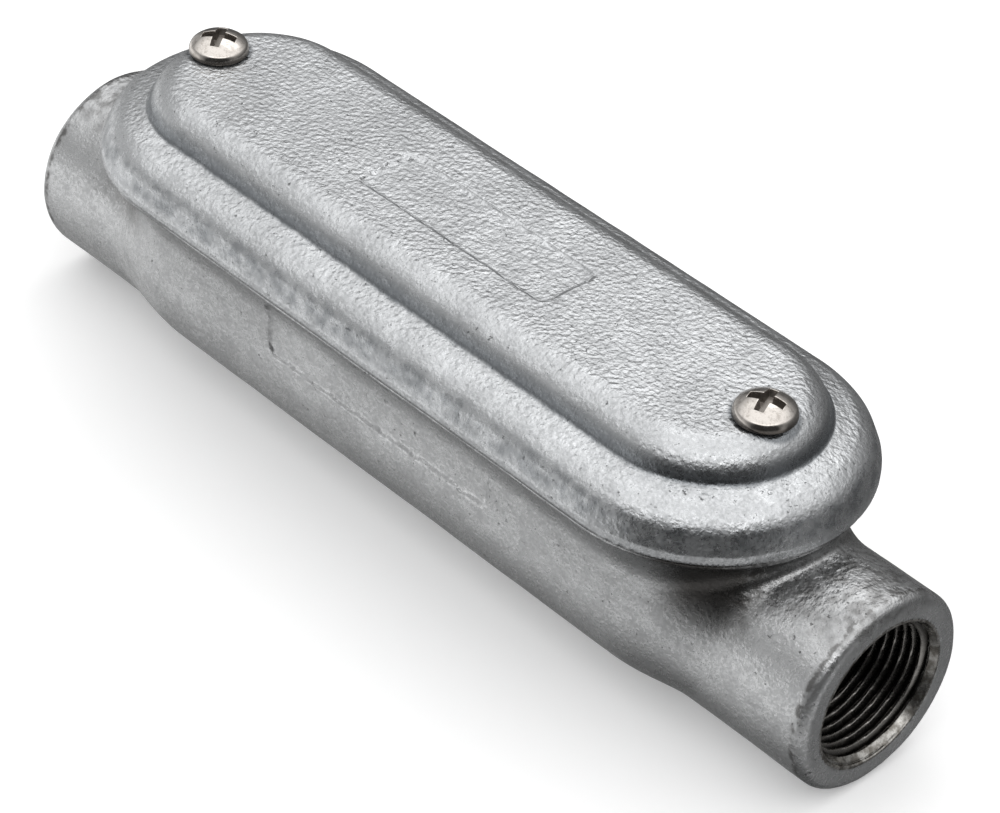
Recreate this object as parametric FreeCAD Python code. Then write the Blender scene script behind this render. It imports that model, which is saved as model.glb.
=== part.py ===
import FreeCAD, Part

import math
import os

# Straight-through conduit body: a cast trough with a threaded hub at each end, closed by
# a gasketed cover that two machine screws hold.  Lengths are millimetres, +Z points up
# through the cover and X runs along the conduit.  The pieces are drawn about the middle
# of the trough on the hub axis, then moved so that the origin is at the mouth of one hub.

# Run of the whole casting
LENGTH = 242.4               # mouth face to mouth face
ROUND_END_CENTRE = 69.35     # from the middle to the centre of each rounded end

# Trough of the body
TROUGH_HALF_WIDTH = 27.5
TROUGH_BOTTOM = -23.05       # lowest point, below the hub axis
TROUGH_WALL = 4.2
CAVITY_BEVEL = 16.0          # slope between the hollow's floor and its side
RIM_TOP = 28.4               # gasket face, above the hub axis
RIM_OVERHANG = 6.8           # how far the rim stands out from the trough wall
RIM_LIP = 1.1                # height of the rim's upright edge
RIM_UNDERSIDE_DROP = 7.0     # fall of the rim's underside from its lip into the wall

# Hubs, with a 1 inch taper pipe thread
HUB_RADIUS = 22.7
HUB_RIM_CHAMFER = 1.5
HUB_NECK_BEVEL = 4.5         # flare where the hub leaves the trough
THREAD_ROOT_RADIUS = 16.6
THREAD_DEPTH = 19.0          # mouth face to the stop ledge
LEDGE_THICKNESS = 3.7        # stop ledge that guards the wires behind the thread
LEDGE_RADIUS = 13.3
CORE_RADIUS = 18.3           # cast passage from the ledge into the trough

# Cover screws, 1/4 inch with a pan head
SCREW_END_INSET = 9.05       # from the end of the raised panel to the screw
SCREW_RADIUS = 3.0
SCREW_LENGTH = 31.75
HEAD_RADIUS = 6.65
HEAD_HEIGHT = 4.3
HEAD_EDGE = 1.5              # height of the head's upright edge
HEAD_TOP_RADIUS = 4.4
RECESS_DEPTH = 2.6
RECESS_SPAN = 7.2            # tip to tip of the cross recess
RECESS_SLOT = 1.7            # width of each arm

# Screw bosses
BOSS_RADIUS = 6.2
BOSS_BOTTOM = 15.0           # above the hub axis
BOSS_WEB = 8.0               # width of the web that joins a boss to the end wall
TAPPED_CLEARANCE = 0.05
SCREW_HOLE_CLEARANCE = 0.4

# Gasket
GASKET_THICKNESS = 1.6
GASKET_INSET = 3.3           # from the edge of the cover to the edge of the gasket
GASKET_SIDE_CLEARANCE = 0.3  # between the gasket and the skirt of the cover

# Cover
COVER_HALF_WIDTH = 35.1
COVER_JOINT_GAP = 0.3        # open joint between the skirt and the rim
FLANGE_SHOULDER = 37.2       # height where the flange's side and top would meet
FLANGE_ROUND = 8.0
PANEL_INSET = 10.7           # from the edge of the cover to the foot of the raised panel
PANEL_DRAFT = 1.0            # how far the panel's side leans in
PANEL_FOOT = 40.3            # height where the raised panel leaves the flange
PANEL_TOP = 47.4
PANEL_SHOULDER_ROUND = 7.0
COVER_WALL = 4.2
SEAT_WIDTH = 4.1             # width of the face that presses on the gasket

# Sizes that follow from those above
HALF_LENGTH = LENGTH / 2
RIM_HALF_WIDTH = TROUGH_HALF_WIDTH + RIM_OVERHANG
CAVITY_HALF_WIDTH = TROUGH_HALF_WIDTH - TROUGH_WALL
GASKET_HALF_WIDTH = COVER_HALF_WIDTH - GASKET_INSET
PANEL_FOOT_HALF_WIDTH = COVER_HALF_WIDTH - PANEL_INSET
PANEL_TOP_HALF_WIDTH = PANEL_FOOT_HALF_WIDTH - PANEL_DRAFT
SCREW_OFFSET = ROUND_END_CENTRE + PANEL_TOP_HALF_WIDTH - SCREW_END_INSET
GASKET_TOP = RIM_TOP + GASKET_THICKNESS
POCKET_HALF_WIDTH = GASKET_HALF_WIDTH + GASKET_SIDE_CLEARANCE
SKIRT_BOTTOM = RIM_TOP + COVER_JOINT_GAP
SCREW_HOLE_RADIUS = SCREW_RADIUS + SCREW_HOLE_CLEARANCE
LEDGE_FACE = HALF_LENGTH - THREAD_DEPTH
LEDGE_BACK = LEDGE_FACE - LEDGE_THICKNESS
THROUGH = 4 * LENGTH         # longer than any piece, for cuts that go right through

X_AXIS = FreeCAD.Vector(1, 0, 0)
Z_AXIS = FreeCAD.Vector(0, 0, 1)
TINY = 1e-6
NEAR = 1e-3


def rounded_outline(corners):
    """Closed wire through (point, radius) corners, each rounded by its own radius."""
    count = len(corners)
    starts, ends, edges = [], [], []
    for index, (here, radius) in enumerate(corners):
        back = (corners[index - 1][0] - here).normalize()
        ahead = (corners[(index + 1) % count][0] - here).normalize()
        half_angle = back.getAngle(ahead) / 2
        reach = radius / math.tan(half_angle)
        starts.append(here + back * reach)
        ends.append(here + ahead * reach)
        if radius > 0:
            inward = (back + ahead).normalize()
            crown = here + inward * (radius / math.sin(half_angle) - radius)
            edges.append(Part.Arc(starts[-1], crown, ends[-1]).toShape())
    for index in range(count):
        start, end = ends[index], starts[(index + 1) % count]
        if start.distanceToPoint(end) > TINY:
            edges.append(Part.LineSegment(start, end).toShape())
    return Part.Wire(Part.__sortEdges__(edges))


def long_round(corners, end_centre=ROUND_END_CENTRE):
    """Solid of a half outline carried round a slot-shaped path with its ends on X."""
    half = Part.Face(rounded_outline([(FreeCAD.Vector(0, y, z), radius) for y, z, radius in corners]))
    shape = None
    for side in (1, -1):
        start = half.copy()
        if side < 0:
            start.rotate(FreeCAD.Vector(), Z_AXIS, 180)
        start.translate(FreeCAD.Vector(-side * end_centre, 0, 0))
        straight = start.extrude(X_AXIS * (2 * side * end_centre))
        tip = start.copy()
        tip.translate(FreeCAD.Vector(2 * side * end_centre, 0, 0))
        centre = FreeCAD.Vector(side * end_centre, 0, 0)
        bend = tip.revolve(centre, Z_AXIS, -180)
        piece = straight.fuse(bend)
        shape = piece if shape is None else shape.fuse(piece)
    return shape.removeSplitter()


def slot_plate(half_width, bottom, top):
    """Flat plate with straight sides and rounded ends."""
    return long_round([(0, bottom, 0), (half_width, bottom, 0),
                       (half_width, top, 0), (0, top, 0)])


def turned(points, axis, outward):
    """Solid of revolution from (distance along the axis, distance out from it) points."""
    outline = [axis * along + outward * out for along, out in points]
    face = Part.Face(Part.makePolygon(outline + outline[:1]))
    return face.revolve(FreeCAD.Vector(), axis, 360)


def both_ends(shape):
    """A shape at the +X end together with its twin at the -X end."""
    twin = shape.copy()
    twin.rotate(FreeCAD.Vector(), Z_AXIS, 180)
    return shape.fuse(twin)


def screw_cylinder(radius, bottom, top):
    """Upright cylinder on the +X screw's axis."""
    return Part.makeCylinder(radius, top - bottom, FreeCAD.Vector(SCREW_OFFSET, 0, bottom), Z_AXIS)


def trough_with_hubs():
    """Outside of the trough wall and the hubs, with a flare where each hub leaves it."""
    above_flare = RIM_TOP + 2 * HUB_NECK_BEVEL
    wall = long_round([
        (0, TROUGH_BOTTOM, 0),
        (TROUGH_HALF_WIDTH, TROUGH_BOTTOM, TROUGH_HALF_WIDTH),
        (TROUGH_HALF_WIDTH, above_flare, 0),
        (0, above_flare, 0),
    ])
    shell = wall.fuse(hubs_outside())
    shell = shell.makeChamfer(HUB_NECK_BEVEL, neck_edges(shell))
    return shell.cut(slot_plate(COVER_HALF_WIDTH, RIM_TOP, above_flare + 1))


def rim():
    """Solid plate under the cover whose underside runs down into the trough wall."""
    root = TROUGH_HALF_WIDTH - TROUGH_WALL / 2
    underside = RIM_TOP - RIM_LIP
    return long_round([
        (0, underside - RIM_UNDERSIDE_DROP, 0),
        (root, underside - RIM_UNDERSIDE_DROP, 0),
        (RIM_HALF_WIDTH, underside, 0),
        (RIM_HALF_WIDTH, RIM_TOP, 0),
        (0, RIM_TOP, 0),
    ])


def cavity():
    top = RIM_TOP + TROUGH_WALL
    bottom = TROUGH_BOTTOM + TROUGH_WALL
    return long_round([
        (0, bottom, 0),
        (CAVITY_HALF_WIDTH - CAVITY_BEVEL, bottom, 0),
        (CAVITY_HALF_WIDTH, bottom + CAVITY_BEVEL, 0),
        (CAVITY_HALF_WIDTH, top, 0),
        (0, top, 0),
    ])


def boss_plan(bottom, top):
    """Screw boss with the web that ties it to the end wall, at the +X end."""
    boss = screw_cylinder(BOSS_RADIUS, bottom, top)
    web_end = ROUND_END_CENTRE + CAVITY_HALF_WIDTH + TROUGH_WALL / 2
    web = Part.makeBox(web_end - SCREW_OFFSET, BOSS_WEB, top - bottom,
                       FreeCAD.Vector(SCREW_OFFSET, -BOSS_WEB / 2, bottom))
    return boss.fuse(web)


def hubs_outside():
    """Bar on the hub axis with bevelled rims, from mouth to mouth."""
    bevel_start = HALF_LENGTH - HUB_RIM_CHAMFER
    face_radius = HUB_RADIUS - HUB_RIM_CHAMFER
    return turned([
        (-HALF_LENGTH, 0), (-HALF_LENGTH, face_radius), (-bevel_start, HUB_RADIUS),
        (bevel_start, HUB_RADIUS), (HALF_LENGTH, face_radius), (HALF_LENGTH, 0),
    ], X_AXIS, Z_AXIS)


def hub_hole():
    """Cut from the trough out through the +X hub, with the stop ledge left standing."""
    return turned([
        (ROUND_END_CENTRE, 0),
        (ROUND_END_CENTRE, CORE_RADIUS), (LEDGE_BACK, CORE_RADIUS),
        (LEDGE_BACK, LEDGE_RADIUS), (LEDGE_FACE, LEDGE_RADIUS),
        (LEDGE_FACE, THREAD_ROOT_RADIUS), (HALF_LENGTH, THREAD_ROOT_RADIUS),
        (HALF_LENGTH, 0),
    ], X_AXIS, Z_AXIS)


def neck_edges(shape):
    """The curved edges where the hubs leave the rounded ends of the trough."""
    chosen = []
    for edge in shape.Edges:
        middle = edge.valueAt((edge.FirstParameter + edge.LastParameter) / 2)
        from_axis = math.hypot(middle.y, middle.z)
        on_hub = abs(from_axis - HUB_RADIUS) < NEAR
        on_neck = abs(middle.x) < HALF_LENGTH - HUB_RIM_CHAMFER - NEAR
        if on_hub and on_neck and not isinstance(edge.Curve, Part.Line):
            chosen.append(edge)
    return chosen


def make_body():
    shell = trough_with_hubs().fuse(rim())
    shell = shell.cut(cavity()).cut(both_ends(hub_hole()))
    shell = shell.fuse(both_ends(boss_plan(BOSS_BOTTOM, RIM_TOP)))
    tapped = screw_cylinder(SCREW_RADIUS + TAPPED_CLEARANCE, 0, RIM_TOP)
    return shell.cut(both_ends(tapped)).removeSplitter()


def make_gasket():
    ring = slot_plate(GASKET_HALF_WIDTH, RIM_TOP, GASKET_TOP)
    ring = ring.cut(slot_plate(CAVITY_HALF_WIDTH, RIM_TOP - 1, GASKET_TOP + 1))
    ring = ring.fuse(both_ends(boss_plan(RIM_TOP, GASKET_TOP))).removeSplitter()
    return ring.cut(both_ends(screw_cylinder(SCREW_HOLE_RADIUS, 0, THROUGH)))


def cover_shell():
    return long_round([
        (0, PANEL_TOP, 0),
        (0, PANEL_TOP - COVER_WALL, 0),
        (PANEL_TOP_HALF_WIDTH - COVER_WALL, PANEL_TOP - COVER_WALL, 0),
        (POCKET_HALF_WIDTH - SEAT_WIDTH, GASKET_TOP, 0),
        (POCKET_HALF_WIDTH, GASKET_TOP, 0),
        (POCKET_HALF_WIDTH, SKIRT_BOTTOM, 0),
        (COVER_HALF_WIDTH, SKIRT_BOTTOM, 0),
        (COVER_HALF_WIDTH, FLANGE_SHOULDER, FLANGE_ROUND),
        (PANEL_FOOT_HALF_WIDTH, PANEL_FOOT, 0),
        (PANEL_TOP_HALF_WIDTH, PANEL_TOP, PANEL_SHOULDER_ROUND),
    ])


def make_cover():
    boss = screw_cylinder(BOSS_RADIUS, GASKET_TOP, PANEL_TOP - COVER_WALL / 2)
    cover = cover_shell().fuse(both_ends(boss))
    return cover.cut(both_ends(screw_cylinder(SCREW_HOLE_RADIUS, 0, THROUGH)))


def cross_recess():
    """Upright cross, centred on the Z axis, to be cut into the crown of a screw's head."""
    corner = FreeCAD.Vector(-RECESS_SPAN / 2, -RECESS_SLOT / 2, HEAD_HEIGHT - RECESS_DEPTH)
    bar = Part.makeBox(RECESS_SPAN, RECESS_SLOT, RECESS_DEPTH, corner)
    crossbar = bar.copy()
    crossbar.rotate(FreeCAD.Vector(), Z_AXIS, 90)
    return bar.fuse(crossbar)


def make_screw():
    """Pan-head screw with its head's seat at height 0 and its shank pointing down."""
    screw = turned([
        (-SCREW_LENGTH, 0), (-SCREW_LENGTH, SCREW_RADIUS), (0, SCREW_RADIUS),
        (0, HEAD_RADIUS), (HEAD_EDGE, HEAD_RADIUS),
        (HEAD_HEIGHT, HEAD_TOP_RADIUS), (HEAD_HEIGHT, 0),
    ], Z_AXIS, X_AXIS)
    return screw.cut(cross_recess())


def placed_screw(x, turn):
    screw = make_screw()
    screw.rotate(FreeCAD.Vector(), Z_AXIS, turn)
    screw.translate(FreeCAD.Vector(x, 0, PANEL_TOP))
    return screw


NEAR_SCREW_TURN = 20.0       # where the cross recess of each tightened screw stopped
FAR_SCREW_TURN = 35.0

PIECES = {
    "body": make_body(),
    "gasket": make_gasket(),
    "cover": make_cover(),
    "cover_screw_near": placed_screw(SCREW_OFFSET, NEAR_SCREW_TURN),
    "cover_screw_far": placed_screw(-SCREW_OFFSET, FAR_SCREW_TURN),
}

os.makedirs("parts", exist_ok=True)
for name, shape in PIECES.items():
    solid = shape.Solids[0]
    solid.translate(FreeCAD.Vector(-HALF_LENGTH, 0, 0))
    solid.exportStep(f"parts/{name}.step")
    print(name, "solids", len(shape.Solids), "valid", solid.isValid(),
          "volume", round(solid.Volume), "box", solid.BoundBox)
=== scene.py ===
"""Looks of the conduit body.

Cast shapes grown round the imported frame, zinc and steel finishes, and a plain studio.
"""

import math

import bpy
import numpy as np
from mathutils import Matrix, Vector


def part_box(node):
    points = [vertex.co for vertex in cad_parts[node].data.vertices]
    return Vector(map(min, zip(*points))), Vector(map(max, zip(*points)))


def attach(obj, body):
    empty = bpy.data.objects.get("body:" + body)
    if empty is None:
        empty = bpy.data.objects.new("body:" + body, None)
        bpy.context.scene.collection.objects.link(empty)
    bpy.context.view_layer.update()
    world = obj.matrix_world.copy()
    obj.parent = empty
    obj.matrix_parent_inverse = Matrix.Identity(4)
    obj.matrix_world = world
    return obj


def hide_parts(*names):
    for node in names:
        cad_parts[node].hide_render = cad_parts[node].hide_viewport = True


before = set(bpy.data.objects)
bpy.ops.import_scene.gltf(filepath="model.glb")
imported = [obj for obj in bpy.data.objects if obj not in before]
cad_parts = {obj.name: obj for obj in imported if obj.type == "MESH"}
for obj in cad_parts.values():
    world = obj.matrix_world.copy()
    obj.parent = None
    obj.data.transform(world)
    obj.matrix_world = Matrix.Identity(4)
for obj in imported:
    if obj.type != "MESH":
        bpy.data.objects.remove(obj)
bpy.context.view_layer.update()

MM = 0.001
TURN = 2 * math.pi
DIAGONAL = 0.707             # cosine of 45 degrees


# ---------------------------------------------------------------- sizes, in millimetres

def box_mm(node):
    """Lowest and highest corner of a CAD node."""
    low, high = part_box(node)
    return np.array(low) / MM, np.array(high) / MM


BODY_LOW, BODY_HIGH = box_mm("body")
COVER_LOW, COVER_HIGH = box_mm("cover")
GASKET_LOW, GASKET_HIGH = box_mm("gasket")
NEAR_LOW, NEAR_HIGH = box_mm("cover_screw_near")
FAR_LOW, FAR_HIGH = box_mm("cover_screw_far")

MIDDLE = (BODY_LOW[0] + BODY_HIGH[0]) / 2     # everything is drawn about the middle of the trough
HALF_LENGTH = (BODY_HIGH[0] - BODY_LOW[0]) / 2
TROUGH_BOTTOM = BODY_LOW[2]
RIM_TOP = GASKET_LOW[2]
SEAT = GASKET_HIGH[2]
RIM_HALF_WIDTH = BODY_HIGH[1]
COVER_HALF_WIDTH = COVER_HIGH[1]
SKIRT_BOTTOM = COVER_LOW[2]
PANEL_TOP = COVER_HIGH[2]
END_CENTRE = COVER_HIGH[0] - MIDDLE - COVER_HALF_WIDTH

# cover screws
NEAR_SCREW = np.array([*(NEAR_LOW + NEAR_HIGH)[:2] / 2, PANEL_TOP])
FAR_SCREW = np.array([*(FAR_LOW + FAR_HIGH)[:2] / 2, PANEL_TOP])
SCREW_OFFSET = NEAR_SCREW[0] - MIDDLE
SCREW_TURNS = {"near": 20.0, "far": 35.0}     # degrees, where each tightened screw stopped
HEAD_RADIUS = (NEAR_HIGH - NEAR_LOW)[1] / 2
HEAD_HEIGHT = NEAR_HIGH[2] - PANEL_TOP
HEAD_EDGE = 1.5              # height of the head's rim, where its dome begins
HEAD_BALL = (HEAD_RADIUS ** 2 + (HEAD_HEIGHT - HEAD_EDGE) ** 2) / (2 * (HEAD_HEIGHT - HEAD_EDGE))
HEAD_RIM_ROUND = 0.7
HEAD_FOOT_ROUND = 0.25
RECESS_DEPTH = 2.4
RECESS_SPAN = 8.4
RECESS_SLOT = 2.3
RECESS_WAIST = 1.45          # half width of the diamond in the middle of the cross
RECESS_SPAN_TAPER = 0.42     # how far each of these sides leans in, for its depth
RECESS_SLOT_TAPER = 0.16
RECESS_WAIST_TAPER = 0.3
RECESS_EDGE_ROUND = 0.12
SHANK_LENGTH = PANEL_TOP - NEAR_LOW[2]
SHANK_RADIUS = 3.0
SHANK_TIP = 0.8              # width of the 45 degree bevel at the tip
SHANK_INTO_HEAD = 0.4
SCREW_PITCH = 25.4 / 20
SCREW_THREAD_DEPTH = 0.62
SCREW_FORM_CUT = 0.1
SCREW_RUN_OUT = 1.5          # length over which the thread fades in below the head
SCREW_PLAIN = 0.6            # plain neck above that, in run-outs
FLANK_SCALE = 0.72           # brings the field's slope on the thread's flanks back to about 1

# body
TROUGH_HALF_WIDTH = RIM_HALF_WIDTH - 6.8
WALL = 4.2
RIM_LIP = 1.1
RIM_SLOPE = 38.0             # degrees, of the rim's underside
RIM_COVE = 5.0
RIM_EDGE_ROUND = 0.5
RIM_TOP_ROUND = 0.4
HUB_RADIUS = 22.7
HUB_RIM_ROUND = 2.4
NECK_COVE = 7.0              # where a hub grows out of the trough
NECK_START = 2.0             # height above the trough's bottom where that cove begins
NECK_RISE = 14.0             # and over which it reaches its full size
NECK_LEAST = 0.02            # share of it that is left below
BORE_RADIUS = 17.0           # the thread sleeve is set into this bore
BORE_ROUND = 0.35
THREAD_DEPTH = 19.0
LEDGE_THICKNESS = 3.7
LEDGE_RADIUS = 13.3
LEDGE_ROUND = 1.2
CORE_RADIUS = 18.3
CORE_ROUND = 0.8
BOSS_RADIUS = 6.2
BOSS_DEPTH = 13.4
BOSS_WEB = 8.0
BOSS_ROUND = 0.5
BOSS_COVE = 0.8
TAPPED_RADIUS = 3.05

# cover
FLANGE_SHOULDER = PANEL_TOP - 10.2
FLANGE_EDGE_ROUND = 3.0
FLANGE_DRAFT = 21.0          # degrees, of the upper part of the flange's side
FLANGE_DRAFT_HEIGHT = 6.2
FLANGE_SLOPE = 16.2          # degrees, of the flange's top
FLANGE_INTO_PANEL = 2.0
PANEL_FOOT = PANEL_TOP - 7.1
PANEL_FOOT_HALF_WIDTH = COVER_HALF_WIDTH - 10.7
PANEL_DRAFT = 8.0            # degrees, of the panel's side
PANEL_SHOULDER_ROUND = 7.0
PANEL_FOOT_COVE = 0.9
SKIRT_ROUND = 0.6
POCKET_HALF_WIDTH = COVER_HALF_WIDTH - 3.0
SEAT_WIDTH = 4.1
CEILING = PANEL_TOP - WALL
CEILING_ROUND = 3.0
HOLLOW_INSET = 1.0           # of the ceiling's edge, besides the wall
HOLLOW_RUN = POCKET_HALF_WIDTH - SEAT_WIDTH - PANEL_FOOT_HALF_WIDTH + WALL + HOLLOW_INSET
HOLLOW_LEAN = math.degrees(math.atan2(CEILING - SEAT, HOLLOW_RUN))
SCREW_HOLE_RADIUS = 3.4
BOSS_INTO_PANEL = 1.0
HEAD_CLEARANCE = 0.06        # hair line between a cover screw's head and the panel
HEAD_MARGIN = 0.4            # and how far the flat under the head reaches past it

# pipe thread
PIPE_PITCH = 25.4 / 11.5
PIPE_THREAD_DEPTH = 1.6
PIPE_TAPER = 1 / 32          # fall of the radius along the thread
PIPE_ROOT_RADIUS = BORE_RADIUS - 0.4
PIPE_FORM_CUT = 0.15
FLANK_STEEPNESS = 1.3        # of both threads; it and the cuts leave flats on crests and roots
MOUTH_RADIUS = BORE_RADIUS - 0.15
MOUTH_BEVEL = 0.62           # fall of the radius along the bevel at the mouth
SLEEVE_RADIUS = BORE_RADIUS + 0.3
SLEEVE_START = 0.15          # from the mouth in to the sleeve's front
SLEEVE_DEPTH = THREAD_DEPTH - 0.2
SLEEVE_RINGS = 132
SLEEVE_SIDES = 144

# bare marking pads, each by its middle and half size
BODY_PAD = ((1.0, 13.9), (35.0, 7.0))
COVER_PAD = ((1.3, -1.0), (28.7, 8.0))
PAD_CORNER = 2.6
PAD_EDGE = 0.8
PAD_DEPTH = 0.6
PAD_RAGGEDNESS = 0.35

# uneven surfaces, each by its depth, its wavelengths and its seed
CAST_WAVES = np.linspace(9, 34, 14)
FINE_WAVES = np.linspace(2.5, 7, 8)
BODY_SKIN = (0.09, CAST_WAVES, 3)
COVER_SKIN = (0.08, CAST_WAVES, 8)
BODY_PAD_RAGS = (1, FINE_WAVES, 5)
COVER_PAD_RAGS = (1, FINE_WAVES, 6)

# cells of the grids that the pieces are grown on
BODY_CELL = 1.0
COVER_CELL = 0.75
HEAD_CELL = 0.12
SHANK_CELL = 0.2


# ---------------------------------------------------------------- distance fields

def inner_round(a, b, radius):
    """Where two solids overlap, with the edge between them rounded."""
    bend = np.hypot(np.maximum(a + radius, 0), np.maximum(b + radius, 0))
    return np.minimum(np.maximum(a, b), -radius) + bend


def outer_round(a, b, radius):
    """Two solids together, with a cove of that radius between them."""
    bend = np.hypot(np.maximum(radius - a, 0), np.maximum(radius - b, 0))
    return np.maximum(np.minimum(a, b), radius) - bend


def slot_reach(x, y):
    """Distance in plan from the line between the centres of the rounded ends."""
    return np.hypot(np.maximum(np.abs(x) - END_CENTRE, 0), y)


def tilted(out, up, degrees):
    """Distance above a plane through (0, 0) that falls outward by that angle."""
    angle = math.radians(degrees)
    return out * math.sin(angle) + up * math.cos(angle)


def thread_form(turns, cut):
    """Profile of a thread: from 1 down to 0 and back once a turn, with flats at both ends."""
    zigzag = np.abs(np.mod(turns, 1) * 2 - 1)
    return np.clip(zigzag * FLANK_STEEPNESS - cut, 0, 1)


def hammered(x, y, z, depth, wavelengths, seed):
    """Gentle uneven surface of a casting, from 0 to twice depth, made of plane waves."""
    dice = np.random.default_rng(seed)
    total = np.zeros_like(x)
    for wavelength in wavelengths:
        way = dice.normal(size=3)
        way *= TURN / wavelength / np.linalg.norm(way)
        total += np.sin(way[0] * x + way[1] * y + way[2] * z + dice.uniform(0, TURN))
    return depth * (1 + np.clip(total / math.sqrt(2 * len(wavelengths)), -1, 1))


def sunk_pad(a, b, pad, rags):
    """How deep a shallow round-cornered rectangle with a ragged edge is sunk at (a, b)."""
    (mid_a, mid_b), (half_a, half_b) = pad
    far_a = np.maximum(np.abs(a - mid_a) - half_a + PAD_CORNER, 0)
    far_b = np.maximum(np.abs(b - mid_b) - half_b + PAD_CORNER, 0)
    inside = PAD_CORNER - np.hypot(far_a, far_b) + (rags - 1) * PAD_RAGGEDNESS
    share = np.clip(inside / PAD_EDGE, 0, 1)
    return PAD_DEPTH * share * share * (3 - 2 * share)


def body_field(x, y, z):
    """The hollow body: trough, rim and hubs, its passages and bores, and the screw bosses."""
    plan, pipe, end = slot_reach(x, y), np.hypot(y, z), np.abs(x)
    trough = inner_round(plan - TROUGH_HALF_WIDTH, TROUGH_BOTTOM - z, TROUGH_HALF_WIDTH)
    hub = inner_round(pipe - HUB_RADIUS, end - HALF_LENGTH, HUB_RIM_ROUND)
    neck = NECK_COVE * np.clip((z - TROUGH_BOTTOM - NECK_START) / NECK_RISE, NECK_LEAST, 1)
    shape = outer_round(trough, hub, neck)
    slope = tilted(plan - RIM_HALF_WIDTH, RIM_TOP - RIM_LIP - z, RIM_SLOPE)
    rim = inner_round(plan - RIM_HALF_WIDTH, slope, RIM_EDGE_ROUND)
    shape = outer_round(shape, rim, RIM_COVE) + hammered(x, y, z, *BODY_SKIN)
    pad = sunk_pad(x, z, BODY_PAD, hammered(x, y, z, *BODY_PAD_RAGS))
    shape = shape + np.where(y < 0, pad, 0)
    shape = inner_round(shape, z - RIM_TOP, RIM_TOP_ROUND)

    hollow = inner_round(plan - TROUGH_HALF_WIDTH + WALL, TROUGH_BOTTOM + WALL - z,
                         TROUGH_HALF_WIDTH - WALL)
    shape = inner_round(shape, -hollow, CORE_ROUND)
    ledge_face = HALF_LENGTH - THREAD_DEPTH
    core = np.maximum(pipe - CORE_RADIUS,
                      np.maximum(end - ledge_face + LEDGE_THICKNESS, END_CENTRE - end))
    shape = inner_round(shape, -core, CORE_ROUND)
    throat = np.maximum(pipe - LEDGE_RADIUS, END_CENTRE - end)
    shape = inner_round(shape, -throat, LEDGE_ROUND)
    bore = np.maximum(pipe - BORE_RADIUS, ledge_face - end)
    shape = inner_round(shape, -bore, BORE_ROUND)

    screw = np.hypot(end - SCREW_OFFSET, y)
    web = np.maximum(np.abs(y) - BOSS_WEB / 2,
                     np.maximum(SCREW_OFFSET - end, plan - TROUGH_HALF_WIDTH + WALL / 2))
    boss = np.minimum(screw - BOSS_RADIUS, web)
    boss = inner_round(boss, np.maximum(z - RIM_TOP, RIM_TOP - BOSS_DEPTH - z), BOSS_ROUND)
    return np.maximum(outer_round(shape, boss, BOSS_COVE), TAPPED_RADIUS - screw)


def cover_field(x, y, z):
    """The hollow cover: flange and skirt, panel, gasket pocket, and the screws' holes."""
    plan, end = slot_reach(x, y), np.abs(x)
    top = tilted(plan - COVER_HALF_WIDTH, z - FLANGE_SHOULDER, FLANGE_SLOPE)
    draft = tilted(z - FLANGE_SHOULDER + FLANGE_DRAFT_HEIGHT, plan - COVER_HALF_WIDTH,
                   FLANGE_DRAFT)
    flange = inner_round(np.maximum(plan - COVER_HALF_WIDTH, draft), top, FLANGE_EDGE_ROUND)
    flange = np.maximum(flange, z - PANEL_FOOT - FLANGE_INTO_PANEL)
    side = tilted(z - PANEL_FOOT, plan - PANEL_FOOT_HALF_WIDTH, PANEL_DRAFT)
    panel = inner_round(side, z - PANEL_TOP, PANEL_SHOULDER_ROUND)
    shape = outer_round(flange, panel, PANEL_FOOT_COVE) + hammered(x, y, z, *COVER_SKIN)
    pad = sunk_pad(x, y, COVER_PAD, hammered(x, y, z, *COVER_PAD_RAGS))
    shape = shape + np.where(z > PANEL_FOOT, pad, 0)
    shape = inner_round(shape, SKIRT_BOTTOM - z, SKIRT_ROUND)

    pocket = np.maximum(plan - POCKET_HALF_WIDTH, z - SEAT)
    hollow = inner_round(tilted(plan - POCKET_HALF_WIDTH + SEAT_WIDTH, z - SEAT, HOLLOW_LEAN),
                         z - CEILING, CEILING_ROUND)
    shape = np.maximum(shape, -np.minimum(pocket, hollow))

    screw = np.hypot(end - SCREW_OFFSET, y)
    head_flat = np.maximum(screw - HEAD_RADIUS - HEAD_MARGIN, PANEL_TOP - HEAD_CLEARANCE - z)
    shape = np.maximum(shape, -head_flat)
    boss = np.maximum(screw - BOSS_RADIUS,
                      np.maximum(SEAT - z, z - CEILING - BOSS_INTO_PANEL))
    return np.maximum(np.minimum(shape, boss), SCREW_HOLE_RADIUS - screw)


def head_field(x, y, z):
    """Pan head of a cover screw, drawn with its seat at z 0, with a tapered cross recess."""
    out = np.hypot(x, y)
    ball = np.hypot(out, z - HEAD_HEIGHT + HEAD_BALL) - HEAD_BALL
    head = inner_round(inner_round(out - HEAD_RADIUS, ball, HEAD_RIM_ROUND), -z, HEAD_FOOT_ROUND)
    drop = HEAD_HEIGHT - z
    reach = RECESS_SPAN / 2 - RECESS_SPAN_TAPER * drop
    half_slot = RECESS_SLOT / 2 - RECESS_SLOT_TAPER * drop
    arms = np.minimum(np.maximum(np.abs(x) - reach, np.abs(y) - half_slot),
                      np.maximum(np.abs(y) - reach, np.abs(x) - half_slot))
    diamond = (np.abs(x) + np.abs(y)) * DIAGONAL
    waist = diamond - (RECESS_WAIST - RECESS_WAIST_TAPER * drop)
    recess = np.maximum(np.minimum(arms, waist), drop - RECESS_DEPTH)
    return inner_round(head, -recess, RECESS_EDGE_ROUND)


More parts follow.
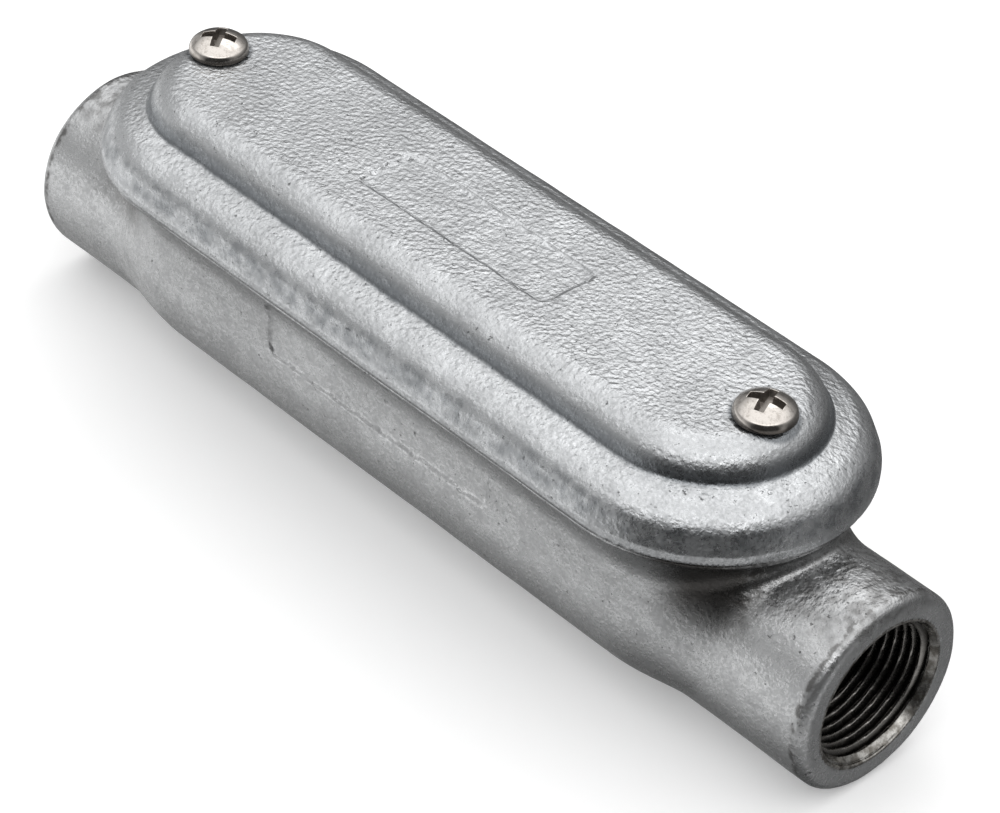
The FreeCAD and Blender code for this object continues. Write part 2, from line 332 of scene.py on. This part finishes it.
def shank_field(x, y, z):
    """Threaded shank of a cover screw, below its head's seat at z 0."""
    out = np.hypot(x, y)
    groove = 1 - thread_form(z / SCREW_PITCH - np.arctan2(y, x) / TURN, SCREW_FORM_CUT)
    fade = np.clip(-z / SCREW_RUN_OUT - SCREW_PLAIN, 0, 1)
    wall = SHANK_RADIUS - SCREW_THREAD_DEPTH * groove * fade
    tip = tilted(out - SHANK_RADIUS + SHANK_TIP, -z - SHANK_LENGTH, 45)
    ends = np.maximum(z - SHANK_INTO_HEAD, -z - SHANK_LENGTH)
    return np.maximum((out - wall) * FLANK_SCALE, np.maximum(tip, ends))


def thread_wall(depth, angle):
    """Radius of the taper pipe thread inside a hub, that far in from the mouth."""
    ridge = 1 - thread_form(depth / PIPE_PITCH + angle / TURN, PIPE_FORM_CUT)
    wall = PIPE_ROOT_RADIUS - depth * PIPE_TAPER - PIPE_THREAD_DEPTH * ridge
    return np.maximum(wall, MOUTH_RADIUS - MOUTH_BEVEL * depth)


# ---------------------------------------------------------------- meshes

SETTLE_ROUNDS = 4
SETTLE_REACH = 0.7           # in cells, how far a point may move on each axis
SETTLE_STEP = 0.2            # in cells, step of the slopes that move the points
NORMAL_STEP = 0.15           # in cells, step of the slopes that give the normals
LEAST_SLOPE = 0.05           # squared; keeps points from jumping where a field is flat


def placed(name, data):
    """A new object in the scene."""
    made = bpy.data.objects.new(name, data)
    bpy.context.scene.collection.objects.link(made)
    return made


def grid_crossings(value, origin, cell):
    """For each grid edge that the surface crosses: axis, start index, crossing point and sense."""
    solid = value < 0
    for axis in range(3):
        before = [slice(None)] * 3
        after = [slice(None)] * 3
        before[axis], after[axis] = slice(None, -1), slice(1, None)
        before, after = tuple(before), tuple(after)
        index = np.argwhere(solid[before] != solid[after])
        here = value[before][tuple(index.T)]
        there = value[after][tuple(index.T)]
        point = origin + index * cell
        point[:, axis] += cell * here / (here - there)
        yield axis, index, point, here < 0


def slope_of(field, points, step):
    """Gradient of a field at points."""
    columns = []
    for axis in range(3):
        shift = np.zeros(3)
        shift[axis] = step
        columns.append((field(*(points + shift).T) - field(*(points - shift).T)) / (2 * step))
    return np.stack(columns, axis=1)


def settle(field, points, cell):
    """Points moved onto the surface, with the surface's normals there."""
    start = points.copy()
    for _ in range(SETTLE_ROUNDS):
        slope = slope_of(field, points, cell * SETTLE_STEP)
        size = np.maximum((slope ** 2).sum(axis=1), LEAST_SLOPE)
        points = points - slope * (field(*points.T) / size)[:, None]
        points = start + np.clip(points - start, -cell * SETTLE_REACH, cell * SETTLE_REACH)
    slope = slope_of(field, points, cell * NORMAL_STEP)
    return points, slope / np.maximum(np.linalg.norm(slope, axis=1), 1e-6)[:, None]


def grown(name, field, low, high, cell):
    """Mesh object of a solid given by its distance field in millimetres, by surface nets."""
    origin = np.array(low, float) - cell
    count = np.ceil((np.array(high) - origin) / cell).astype(int) + 2
    axes = [origin[axis] + cell * np.arange(count[axis]) for axis in range(3)]
    value = field(*np.meshgrid(*axes, indexing="ij"))
    value = np.where(value == 0, 1e-9, value)
    cells = count - 1
    total, hits = np.zeros((cells.prod(), 3)), np.zeros(cells.prod())
    quads = []
    for axis, index, point, leaving in grid_crossings(value, origin, cell):
        ring = []
        for u, v in ((0, 0), (1, 0), (1, 1), (0, 1)):
            shift = np.zeros(3, int)
            shift[(axis + 1) % 3], shift[(axis + 2) % 3] = u, v
            ring.append(np.ravel_multi_index((index - shift).T, cells))
            np.add.at(total, ring[-1], point)
            np.add.at(hits, ring[-1], 1)
        ring = np.stack(ring, axis=1)
        quads.append(np.where(leaving[:, None], ring, ring[:, ::-1]))
    used = np.flatnonzero(hits)
    place = np.full(cells.prod(), -1)
    place[used] = np.arange(len(used))
    points, normals = settle(field, total[used] / hits[used, None], cell)
    mesh = bpy.data.meshes.new(name)
    mesh.from_pydata(points * MM, [], place[np.concatenate(quads)])
    mesh.shade_smooth()
    mesh.normals_split_custom_set_from_vertices(normals)
    return placed(name, mesh)


def face_corners(grid):
    """Values at the four corners of every face of a grid that closes on itself both ways."""
    beside = np.roll(grid, -1, 1)
    return np.stack([grid, beside, np.roll(beside, -1, 0), np.roll(grid, -1, 0)], axis=2)


def threaded_sleeve(name):
    """Tube with the pipe thread inside, its mouth just below x 0 and its back at -x."""
    depth = np.linspace(SLEEVE_START, SLEEVE_DEPTH, SLEEVE_RINGS)[:, None]
    angle = np.arange(SLEEVE_SIDES)[None, :] * TURN / SLEEVE_SIDES
    inside = thread_wall(depth, angle)
    out = np.vstack([inside, np.full((2, SLEEVE_SIDES), SLEEVE_RADIUS)])
    along = np.broadcast_to(-np.vstack([depth, depth[-1:], depth[:1]]), out.shape)
    points = np.stack([along, out * np.cos(angle), out * np.sin(angle)], axis=2)
    number = np.arange(out.size).reshape(out.shape)
    mesh = bpy.data.meshes.new(name)
    mesh.from_pydata(points.reshape(-1, 3) * MM, [],
                     face_corners(number[..., None]).reshape(-1, 4))

    nudge, tick = 0.02, 0.002
    fall = (thread_wall(depth + nudge, angle) - thread_wall(depth - nudge, angle)) / (2 * nudge)
    twist = (thread_wall(depth, angle + tick) - thread_wall(depth, angle - tick)) / (2 * tick)
    twist = twist / inside
    normals = np.zeros(points.shape)
    normals[:-2] = np.stack([-fall, -np.cos(angle) - twist * np.sin(angle),
                             -np.sin(angle) + twist * np.cos(angle)], axis=2)
    normals[-2:] = np.stack([0 * angle, np.cos(angle), np.sin(angle)], axis=2)
    normals /= np.linalg.norm(normals, axis=2, keepdims=True)
    corners = face_corners(normals)
    corners[-3], corners[-1] = (-1, 0, 0), (1, 0, 0)     # the flat back and the flat mouth
    mesh.shade_smooth()
    mesh.normals_split_custom_set(corners.reshape(-1, 3))
    return placed(name, mesh)


def seated(piece, place, turn, body, slot, material, *nodes):
    """Turns a piece about its own axis, sets it in place and ties it to its body. The slot is not
    used.
    """
    piece.matrix_world = Matrix.Translation(Vector(place) * MM) @ turn
    piece.data.materials.append(material)
    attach(piece, body)
    if nodes:
        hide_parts(*nodes)


# ---------------------------------------------------------------- finishes

# noise patterns: lumps in millimetres, detail, roughness, and the range stretched to 0 to 1
CLOUDS = (16, 3, 0.5, 0.35, 0.65)
PATCHES = (4.5, 4, 0.6, 0.38, 0.62)
SPECKLE = (0.8, 3, 0.75, 0.38, 0.62)
PITS = (1.5, 3, 0.75, 0.66, 0.70)
OIL_PATCHES = (2.2, 4, 0.65, 0.38, 0.62)
OIL_SHEEN = (1.2, 3, 0.5, 0.3, 0.7)
SCUFFS = (1.1, 4, 0.7, 0.45, 0.7)
SCREW_SHEEN = (0.7, 3, 0.7, 0.3, 0.75)
DUST = (2.5, 3, 0.5, 0.4, 0.7)
RUBBER_SHEEN = (1.3, 2, 0.5, 0.3, 0.7)

# plain noises: lumps in millimetres, detail and roughness
MARK_AND_SHADE_WOBBLE = (3.2, 4, 0.65)
PEBBLES = (1.15, 2, 0.45)
GRAIN = (0.5, 3, 0.6)

# depths of the relief, in millimetres
GRAIN_DEPTH = 0.075
PIT_DEPTH = 0.12
CUT_DEPTH = 0.01
SCUFF_DEPTH = 0.006
RUBBER_DEPTH = 0.03

# zinc: its greys, and how much of each pattern shows
CLOUD_DARK, CLOUD_LIGHT, PATCH_DARK, SPECK_LIGHT, PIT_DARK = 0.45, 0.54, 0.37, 0.70, 0.11
PATCH_SHARE, SPECK_SHARE, PIT_SHARE = 0.42, 0.34, 0.8
PEBBLED_FACING = (0.80, 0.97)     # how far up a face looks where pebbles reach their full height
PEBBLES_ON_SIDES = 0.40

# colour of the hubs' burr line and of the painted shade under the rim
BURR_AND_SHADE_DARK = (0.075, 0.071, 0.067, 1)
# colour of the painted shade on the cover
COVER_SHADE_DARK = (0.14, 0.152, 0.165, 1)
CREST_STEEL = (0.36, 0.345, 0.325, 1)
ROOT_DARK = (0.045, 0.041, 0.037, 1)
MOUTH_DARK = (0.15, 0.14, 0.125, 1)
MOUTH_LIGHT = (0.42, 0.41, 0.39, 1)
STAINLESS = (0.66, 0.62, 0.58, 1)
SCUFFED = (0.46, 0.425, 0.39, 1)
# colour of the painted shade on a screw
SCREW_SHADE_DARK = (0.055, 0.045, 0.038, 1)
RUBBER = (0.030, 0.030, 0.031, 1)
DUSTY_RUBBER = (0.060, 0.058, 0.055, 1)
TABLE_DARK = (0.93, 0.93, 0.93, 1)
TABLE_LIGHT = (0.95, 0.95, 0.95, 1)

# the burr line behind each mouth, and painted shade where the hubs duck under the rim, in
# millimetres: X from the middle of the trough, Z up from the hubs' axis
BURR_INSET = 2.3             # from the mouth back to the burr line
BURR_FADE = (0.2, 1.1)
BURR_WOBBLE = 3.5
BURR_GAPS = (0.40, 0.55)     # range of the wobble over which the line comes and goes
BURR_SHARE = 0.75
UNDER_START_X = (78.0, 88.0)
UNDER_STOP_X = (94.0, 105.0)
UNDER_Z = (5.0, 17.0)
UNDER_WOBBLE = 12.0
UNDER_SHARE = 0.97
# painted shadow blotches on the hub tops next to the rim's underside
SHADE_BLOTCH_X = (92.0, 98.0)
SHADE_BLOTCH_Z = (15.0, 21.5)
SHADE_BLOTCHES = (0.42, 0.62, 0.12, 0.62)     # range of the wobble, and the stain's share over it

# painted shade on the cover, in millimetres: a dark band round the panel's foot, a painted dark
# reflection band on the flange's side, and a painted contact shadow round each screw head
FOOT_WOBBLE = 1.2
FOOT_RADIUS = PANEL_FOOT_HALF_WIDTH - 0.5
FOOT_FADE = (0.5, 1.5)
FOOT_Z = (PANEL_FOOT + 1.0, PANEL_FOOT + 5.2)
FOOT_SHARE = 0.85
SIDE_RADIUS = (COVER_HALF_WIDTH - 3.2, COVER_HALF_WIDTH - 1.6)
SIDE_Z = (FLANGE_SHOULDER - 6.5, FLANGE_SHOULDER - 4.5)
SIDE_BLOTCHES = (0.40, 0.62, 0.10, 0.55)
RING_RADIUS = (HEAD_RADIUS + 0.1, HEAD_RADIUS + 1.1)
RING_SHARE = 0.8

# darker thread roots, and painted shade on a screw, in millimetres
ROOT_DARK_DEPTH = 1.2              # from the crests outward, to where the roots are at their darkest
MOUTH_X = (-2.7, -2.0)       # where the thread gives way to the chamfer at its mouth
# painted shade in the cross recess, and a painted dark band round the head's foot
RECESS_SHADE_DEPTHS = (0.10, 0.75)   # depth below the dome
RECESS_SHADE_SHARE, RECESS_DULLNESS = 0.62, 0.25
SCREW_FOOT_Z = (0.5, 1.7)
SCREW_FOOT_SHARE = 0.85

TABLE_ROUGHNESS = 0.7
TABLE_GLOW = 0.22


class Wiring:
    """A node tree being wired up."""

    def __init__(self, tree):
        self.tree = tree

    def feed(self, socket, value):
        """Links another node's output to a socket, or sets the socket's own value."""
        if isinstance(value, bpy.types.NodeSocket):
            self.tree.links.new(value, socket)
        else:
            socket.default_value = value

    def node(self, kind, sockets=None, **settings):
        """A new node with those settings, its sockets fed by name or number."""
        made = self.tree.nodes.new(kind)
        for key, value in settings.items():
            setattr(made, key, value)
        for key, value in (sockets or {}).items():
            self.feed(made.inputs[key], value)
        return made

    def blend(self, share, one, other):
        """Colour one where share is 0, other where it is 1."""
        made = self.node("ShaderNodeMix", {0: share, 6: one, 7: other}, data_type="RGBA")
        return made.outputs[2]


class Finish(Wiring):
    """A material being wired up. Lengths are metres in the object's own space."""

    def __init__(self, name, metallic):
        self.material = bpy.data.materials.new(name)
        self.material.use_nodes = True
        super().__init__(self.material.node_tree)
        self.shader = self.tree.nodes["Principled BSDF"]
        self.feed(self.shader.inputs["Metallic"], metallic)
        self.coordinates = self.node("ShaderNodeTexCoord").outputs

    def axes(self, kind="Object"):
        """X, Y and Z of the place on the object, or of its Normal there."""
        return self.node("ShaderNodeSeparateXYZ", {0: self.coordinates[kind]}).outputs

    def noise(self, wavelength, detail=2.0, rough=0.5):
        """Cloudy pattern from 0 to 1 with lumps of about that many millimetres."""
        return self.node("ShaderNodeTexNoise", {
            "Vector": self.coordinates["Object"], "Scale": 1 / (wavelength * MM),
            "Detail": detail, "Roughness": rough}).outputs["Fac"]

    def spread(self, value, low, high, to_low=0.0, to_high=1.0):
        """A value's range low..high stretched smoothly to another range, clamped."""
        return self.node("ShaderNodeMapRange", {
            "Value": value, "From Min": low, "From Max": high,
            "To Min": to_low, "To Max": to_high}, interpolation_type="SMOOTHSTEP").outputs["Result"]

    def fade(self, length, span, to_low=0.0, to_high=1.0):
        """The same for a length, over a span in millimetres."""
        return self.spread(length, span[0] * MM, span[1] * MM, to_low, to_high)

    def pattern(self, kind, to_low=0.0, to_high=1.0):
        """One of the noise patterns, stretched to a range."""
        wavelength, detail, rough, low, high = kind
        return self.spread(self.noise(wavelength, detail, rough), low, high, to_low, to_high)

    def math(self, kind, a, b=0.0):
        """Result of a sum of that kind. Sums of a single value leave out b."""
        return self.node("ShaderNodeMath", {0: a, 1: b}, operation=kind).outputs[0]

    def times(self, a, b):
        return self.math("MULTIPLY", a, b)

    def plus(self, a, b):
        return self.math("ADD", a, b)

    def minus(self, a, b):
        return self.math("SUBTRACT", a, b)

    def larger(self, a, b):
        return self.math("MAXIMUM", a, b)

    def size(self, a):
        return self.math("ABSOLUTE", a)

    def squares(self, a, b):
        """a squared plus b squared."""
        return self.plus(self.times(a, a), self.times(b, b))

    def reach(self, a, b):
        """Distance from the origin to (a, b)."""
        return self.math("SQRT", self.squares(a, b))

    def wobbled(self, length, wobble, amount):
        """A length shaken by a noise, over that many millimetres."""
        return self.plus(length, self.times(self.minus(wobble, 0.5), amount * MM))

    def bump(self, height, depth, under=None):
        """Relief of that many millimetres, on top of the relief under it."""
        sockets = {"Height": height, "Distance": depth * MM}
        if under is not None:
            sockets["Normal"] = under
        return self.node("ShaderNodeBump", sockets).outputs["Normal"]

    def wear(self, **outputs):
        """The material, with finished outputs linked to its shader."""
        for key, value in outputs.items():
            self.feed(self.shader.inputs[key.replace("_", " ")], value)
        return self.material


def grey(level, warmth=0.0):
    """A colour of that brightness, a little toward yellow or, below 0, toward blue."""
    return (level * (1 + warmth), level, level * (1 - warmth), 1)


def hub_burr_and_painted_shade(made, where, wobble):
    """Painted shade where the hubs duck under the rim, with painted shadow blotches on the hub tops
    by the rim, and the ragged burr line behind each mouth.
    """
    end = made.size(where["X"])
    burr = made.wobbled(end, wobble, BURR_WOBBLE)
    burr = made.size(made.minus(burr, (HALF_LENGTH - BURR_INSET) * MM))
    burr = made.times(made.fade(burr, BURR_FADE, 1.0, 0.0), made.spread(wobble, *BURR_GAPS))
    # painted shade under the rim's overhang, where the hubs meet the body's end
    under = made.fade(made.wobbled(end, wobble, UNDER_WOBBLE), UNDER_STOP_X, 1.0, 0.0)
    under = made.times(under, made.fade(where["Z"], UNDER_Z))
    under = made.times(under, made.fade(end, UNDER_START_X))
    # painted shadow blotches on the hub tops beside the rim
    blotched_shade = made.times(made.fade(where["Z"], SHADE_BLOTCH_Z), made.fade(end, SHADE_BLOTCH_X))
    blotched_shade = made.times(blotched_shade, made.spread(wobble, *SHADE_BLOTCHES))
    under = made.larger(made.times(under, UNDER_SHARE), blotched_shade)
    return made.larger(made.times(burr, BURR_SHARE), under)


def cover_painted_shade(made, where, wobble):
    """Painted shade: a dark band round the foot of the panel, a fainter painted reflection band on
    the flange's side, and painted contact shadows round the heads.
    """
    end = made.size(where["X"])
    past = made.larger(made.minus(end, END_CENTRE * MM), 0.0)
    plan = made.wobbled(made.reach(past, where["Y"]), wobble, FOOT_WOBBLE)
    # painted shade in the crease at the panel's foot
    foot = made.fade(made.size(made.minus(plan, FOOT_RADIUS * MM)), FOOT_FADE, 1.0, 0.0)
    foot = made.times(foot, made.fade(where["Z"], FOOT_Z, 1.0, 0.0))
    # painted dark reflection band on the flange's side
    side = made.times(made.fade(plan, SIDE_RADIUS), made.fade(where["Z"], SIDE_Z))
    side = made.times(side, made.spread(wobble, *SIDE_BLOTCHES))
    # painted contact shadow round each screw head
    head = made.reach(made.minus(end, SCREW_OFFSET * MM), where["Y"])
    ring = made.fade(head, RING_RADIUS, RING_SHARE, 0.0)
    return made.larger(ring, made.larger(made.times(foot, FOOT_SHARE), side))


def zinc(name, level, pebble_depth, warmth, dark_marks_and_shade, marks_and_shade_colour):
    """Hot-dip zinc over a cast skin: mottled, pebbled, with dark pits, dark burr lines and painted
    shade in its creases.
    """
    made = Finish(name, metallic=0.92)
    patches, speckle, pits = (made.pattern(kind) for kind in (PATCHES, SPECKLE, PITS))
    colour = made.blend(made.pattern(CLOUDS), grey(CLOUD_DARK * level, warmth),
                        grey(CLOUD_LIGHT * level, warmth))
    for pattern, share, tone in ((patches, PATCH_SHARE, PATCH_DARK * level),
                                 (speckle, SPECK_SHARE, SPECK_LIGHT * level),
                                 (pits, PIT_SHARE, PIT_DARK)):
        colour = made.blend(made.times(pattern, share), colour, grey(tone, warmth))
    # dark burr lines, and painted shade under the rim, at the panel's foot and round the screw
    # heads
    colour = made.blend(dark_marks_and_shade(made, made.axes(), made.noise(*MARK_AND_SHADE_WOBBLE)), colour, marks_and_shade_colour)
    rough = made.plus(made.spread(patches, 0, 1, 0.20, 0.28),
                      made.spread(speckle, 0, 1, 0.12, 0.0))
    flat = made.spread(made.axes("Normal")["Z"], *PEBBLED_FACING, PEBBLES_ON_SIDES, 1.0)
    normal = made.bump(made.times(made.noise(*PEBBLES), flat), pebble_depth)
    normal = made.bump(made.noise(*GRAIN), GRAIN_DEPTH, normal)
    normal = made.bump(made.times(pits, -1.0), PIT_DEPTH, normal)
    return made.wear(Base_Color=colour, Roughness=rough, Normal=normal)


def oiled_steel(name):
    """Cut pipe thread, darker toward its roots, lighter and mottled in the chamfer at its mouth."""
    made = Finish(name, metallic=0.95)
    where = made.axes()
    out = made.reach(where["Y"], where["Z"])
    out = made.minus(out, made.times(where["X"], PIPE_TAPER))
    crest = PIPE_ROOT_RADIUS - PIPE_THREAD_DEPTH
    thread = made.blend(made.fade(out, (crest, crest + ROOT_DARK_DEPTH)), CREST_STEEL, ROOT_DARK)
    mouth = made.blend(made.pattern(OIL_PATCHES), MOUTH_DARK, MOUTH_LIGHT)
    colour = made.blend(made.fade(where["X"], MOUTH_X), thread, mouth)
    return made.wear(Base_Color=colour, Roughness=made.pattern(OIL_SHEEN, 0.18, 0.32),
                     Normal=made.bump(made.noise(0.4, 2), CUT_DEPTH))


def bright_steel(name):
    """Polished stainless, slightly warm, scuffed, with painted shade in its cross recess and a
    painted dark reflection band round its foot.
    """
    made = Finish(name, metallic=1.0)
    where = made.axes()
    colour = made.blend(made.pattern(SCUFFS), STAINLESS, SCUFFED)
    square = made.squares(where["X"], where["Y"])
    sagging = made.times(square, 0.5 / (HEAD_BALL * MM))
    sunk = made.minus(HEAD_HEIGHT * MM, made.plus(sagging, where["Z"]))
    within = made.math("LESS_THAN", square, (RECESS_SPAN / 2 * MM) ** 2)
    # painted shade in the cross recess
    recess_shade = made.times(made.fade(sunk, RECESS_SHADE_DEPTHS), within)
    # painted dark reflection band round the head's foot
    foot = made.fade(made.size(where["Z"]), SCREW_FOOT_Z, SCREW_FOOT_SHARE, 0.0)
    colour = made.blend(made.larger(made.times(recess_shade, RECESS_SHADE_SHARE), foot), colour, SCREW_SHADE_DARK)
    rough = made.plus(made.pattern(SCREW_SHEEN, 0.09, 0.22), made.times(recess_shade, RECESS_DULLNESS))
    return made.wear(Base_Color=colour, Roughness=rough,
                     Normal=made.bump(made.noise(0.5, 3), SCUFF_DEPTH))


def rubber(name):
    """Dark, dull and a little dusty."""
    made = Finish(name, metallic=0.0)
    colour = made.blend(made.pattern(DUST), RUBBER, DUSTY_RUBBER)
    return made.wear(Base_Color=colour, Roughness=made.pattern(RUBBER_SHEEN, 0.62, 0.8),
                     Normal=made.bump(made.noise(0.6, 2), RUBBER_DEPTH))


def table_top(name):
    """Matt white that glows a little, so that the floor stays as pale as a studio's."""
    made = Finish(name, metallic=0.0)
    return made.wear(Base_Color=made.blend(made.noise(60, 2), TABLE_DARK, TABLE_LIGHT),
                     Roughness=TABLE_ROUGHNESS, Emission_Color=(1, 1, 1, 1),
                     Emission_Strength=TABLE_GLOW)


# ---------------------------------------------------------------- the part

BODY_ZINC = zinc("zinc_body", level=1.03, pebble_depth=0.27, warmth=-0.010,
                 dark_marks_and_shade=hub_burr_and_painted_shade, marks_and_shade_colour=BURR_AND_SHADE_DARK)
COVER_ZINC = zinc("zinc_cover", level=1.08, pebble_depth=0.37, warmth=-0.019,
                  dark_marks_and_shade=cover_painted_shade, marks_and_shade_colour=COVER_SHADE_DARK)
THREAD_STEEL = oiled_steel("oiled_thread")
SCREW_STEEL = bright_steel("bright_screw")

CENTRE = (MIDDLE, 0, 0)
STILL = Matrix.Identity(4)

seated(grown("cast_body", body_field, (-HALF_LENGTH, -RIM_HALF_WIDTH, TROUGH_BOTTOM),
             (HALF_LENGTH, RIM_HALF_WIDTH, RIM_TOP), BODY_CELL),
       CENTRE, STILL, "casting", "galvanised_body", BODY_ZINC, "body")
seated(grown("cast_cover", cover_field, (COVER_LOW[0] - MIDDLE, -COVER_HALF_WIDTH, SKIRT_BOTTOM),
             (COVER_HIGH[0] - MIDDLE, COVER_HALF_WIDTH, PANEL_TOP), COVER_CELL),
       CENTRE, STILL, "lid", "galvanised_cover", COVER_ZINC, "cover")
for end, mouth, turn in (("near", BODY_HIGH[0], 0.0), ("far", BODY_LOW[0], math.pi)):
    seated(threaded_sleeve(f"pipe_thread_{end}"), (mouth, 0, 0), Matrix.Rotation(turn, 4, "Z"),
           "casting", "galvanised_body", THREAD_STEEL)
for end, seat in (("near", NEAR_SCREW), ("far", FAR_SCREW)):
    turn = Matrix.Rotation(math.radians(SCREW_TURNS[end]), 4, "Z")
    body = f"{end}_screw"
    seated(grown(f"screw_head_{end}", head_field, (-HEAD_RADIUS, -HEAD_RADIUS, 0),
                 (HEAD_RADIUS, HEAD_RADIUS, HEAD_HEIGHT), HEAD_CELL),
           seat, turn, body, "screw_steel", SCREW_STEEL, f"cover_screw_{end}")
    seated(grown(f"screw_shank_{end}", shank_field, (-SHANK_RADIUS, -SHANK_RADIUS, -SHANK_LENGTH),
                 (SHANK_RADIUS, SHANK_RADIUS, SHANK_INTO_HEAD), SHANK_CELL),
           seat, turn, body, "screw_steel", SCREW_STEEL)

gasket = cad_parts["gasket"]
gasket.data.materials.clear()
gasket.data.materials.append(rubber("rubber_gasket"))


# ---------------------------------------------------------------- studio

# surroundings, as (elevation in degrees, brightness) from the floor's light below to the soft
# white ceiling: in general, toward the camera, and toward the far side. The dim band above the
# horizon is darkest toward the camera.
SIDE_DOME = ((-90, 0.05), (-62, 0.15), (-52, 0.36), (-42, 0.62), (-30, 0.85), (-15, 1.2),
             (-4, 1.1), (8, 0.60), (22, 0.40), (33, 0.88), (48, 1.3), (90, 1.4))
FRONT_DOME = ((-90, 0.05), (-60, 0.25), (-45, 0.55), (-28, 0.62), (-16, 0.25), (-8, 0.05),
              (15, 0.04), (36, 0.04), (43, 2.0), (50, 2.9), (60, 1.3), (90, 1.4))
BACK_DOME = ((-90, 0.05), (-60, 0.12), (-40, 0.20), (-20, 0.12), (-5, 0.12), (8, 0.18),
             (20, 0.38), (29, 0.60), (36, 1.0), (48, 1.3), (60, 1.35), (90, 1.4))
FRONT_WAY = (0.71, -0.70, 0)
FRONT_REACH = (0.25, 0.75)          # cosines to that way, from none of its dome to all of it
BACK_WAY = (0, 1, 0)
BACK_REACH = (0.05, 0.50)

# metres and watts
FLOOR_SIZE = 3.0
KEY_PLACE = (-0.15, 0.35, 0.60)     # from the middle of the trough
KEY_WIDTH, KEY_HEIGHT, KEY_POWER = 0.5, 0.4, 0.35

CAMERA_ANGLES = (45.532, 37.911, 3.118)     # degrees: azimuth, elevation and roll
CAMERA_DISTANCE = 0.79713
CAMERA_SHIFT = (-0.00714, 0.00099)     # metres that the part is moved right and up in the picture
LENS, SENSOR = 133.71, 36.0


def soft_dome():
    """Surroundings that are white overhead and dim above the horizon."""
    world = bpy.data.worlds.new("studio")
    world.use_nodes = True
    dome = Wiring(world.node_tree)
    where = dome.node("ShaderNodeTexCoord").outputs["Generated"]

    def share(way, low, high):
        """How far the view turns toward a way, from 0 at low to 1 at high."""
        toward = dome.node("ShaderNodeVectorMath", {0: where, 1: way}, operation="DOT_PRODUCT")
        return dome.node("ShaderNodeMapRange", {
            "Value": toward.outputs["Value"], "From Min": low, "From Max": high}).outputs["Result"]

    height = share((0, 0, 1), -1, 1)

    def ramp(levels):
        """Brightness by elevation."""
        made = dome.node("ShaderNodeValToRGB", {0: height})
        stops = made.color_ramp.elements
        while len(stops) < len(levels):
            stops.new(0.5)
        for stop, (elevation, level) in zip(stops, levels):
            stop.position = (1 + math.sin(math.radians(elevation))) / 2
            stop.color = grey(level)
        return made.outputs["Color"]

    shade = dome.blend(share(BACK_WAY, *BACK_REACH), ramp(SIDE_DOME), ramp(BACK_DOME))
    shade = dome.blend(share(FRONT_WAY, *FRONT_REACH), shade, ramp(FRONT_DOME))
    dome.feed(dome.tree.nodes["Background"].inputs["Color"], shade)
    return world


def studio():
    """Plain white table, large soft light overhead, quiet surroundings."""
    middle = Vector(CENTRE) * MM
    bpy.ops.mesh.primitive_plane_add(size=FLOOR_SIZE, location=(middle.x, 0, TROUGH_BOTTOM * MM))
    floor = bpy.context.object
    floor.name = "floor"
    floor.data.materials.append(table_top("white_table"))
    floor.visible_glossy = False
    light = bpy.data.lights.new("key", "AREA")
    light.shape = "RECTANGLE"
    light.size, light.size_y, light.energy = KEY_WIDTH, KEY_HEIGHT, KEY_POWER
    lamp = placed("key", light)
    lamp.location = middle + Vector(KEY_PLACE)
    lamp.rotation_mode = "QUATERNION"
    lamp.rotation_quaternion = (middle - lamp.location).to_track_quat("-Z", "Y")
    bpy.context.scene.world = soft_dome()
    bpy.context.scene.view_settings.view_transform = "Standard"


def aim_camera():
    """Long lens looking down on the near end from the front right, slightly rolled."""
    azimuth, elevation, roll = (math.radians(angle) for angle in CAMERA_ANGLES)
    back = Vector((math.sin(azimuth) * math.cos(elevation),
                   -math.cos(azimuth) * math.cos(elevation), math.sin(elevation)))
    level = Vector((math.cos(azimuth), math.sin(azimuth), 0))
    upright = back.cross(level)
    right = math.cos(roll) * level + math.sin(roll) * upright
    up = -math.sin(roll) * level + math.cos(roll) * upright
    lens = bpy.data.cameras.new("camera")
    lens.lens, lens.sensor_width = LENS, SENSOR
    camera = placed("camera", lens)
    place = Vector((MIDDLE * MM, 0, 0)) + back * CAMERA_DISTANCE
    place = place - right * CAMERA_SHIFT[0] - up * CAMERA_SHIFT[1]
    turn = Matrix((right, up, back)).transposed().to_4x4()
    camera.matrix_world = Matrix.Translation(place) @ turn
    bpy.context.scene.camera = camera


studio()
aim_camera()
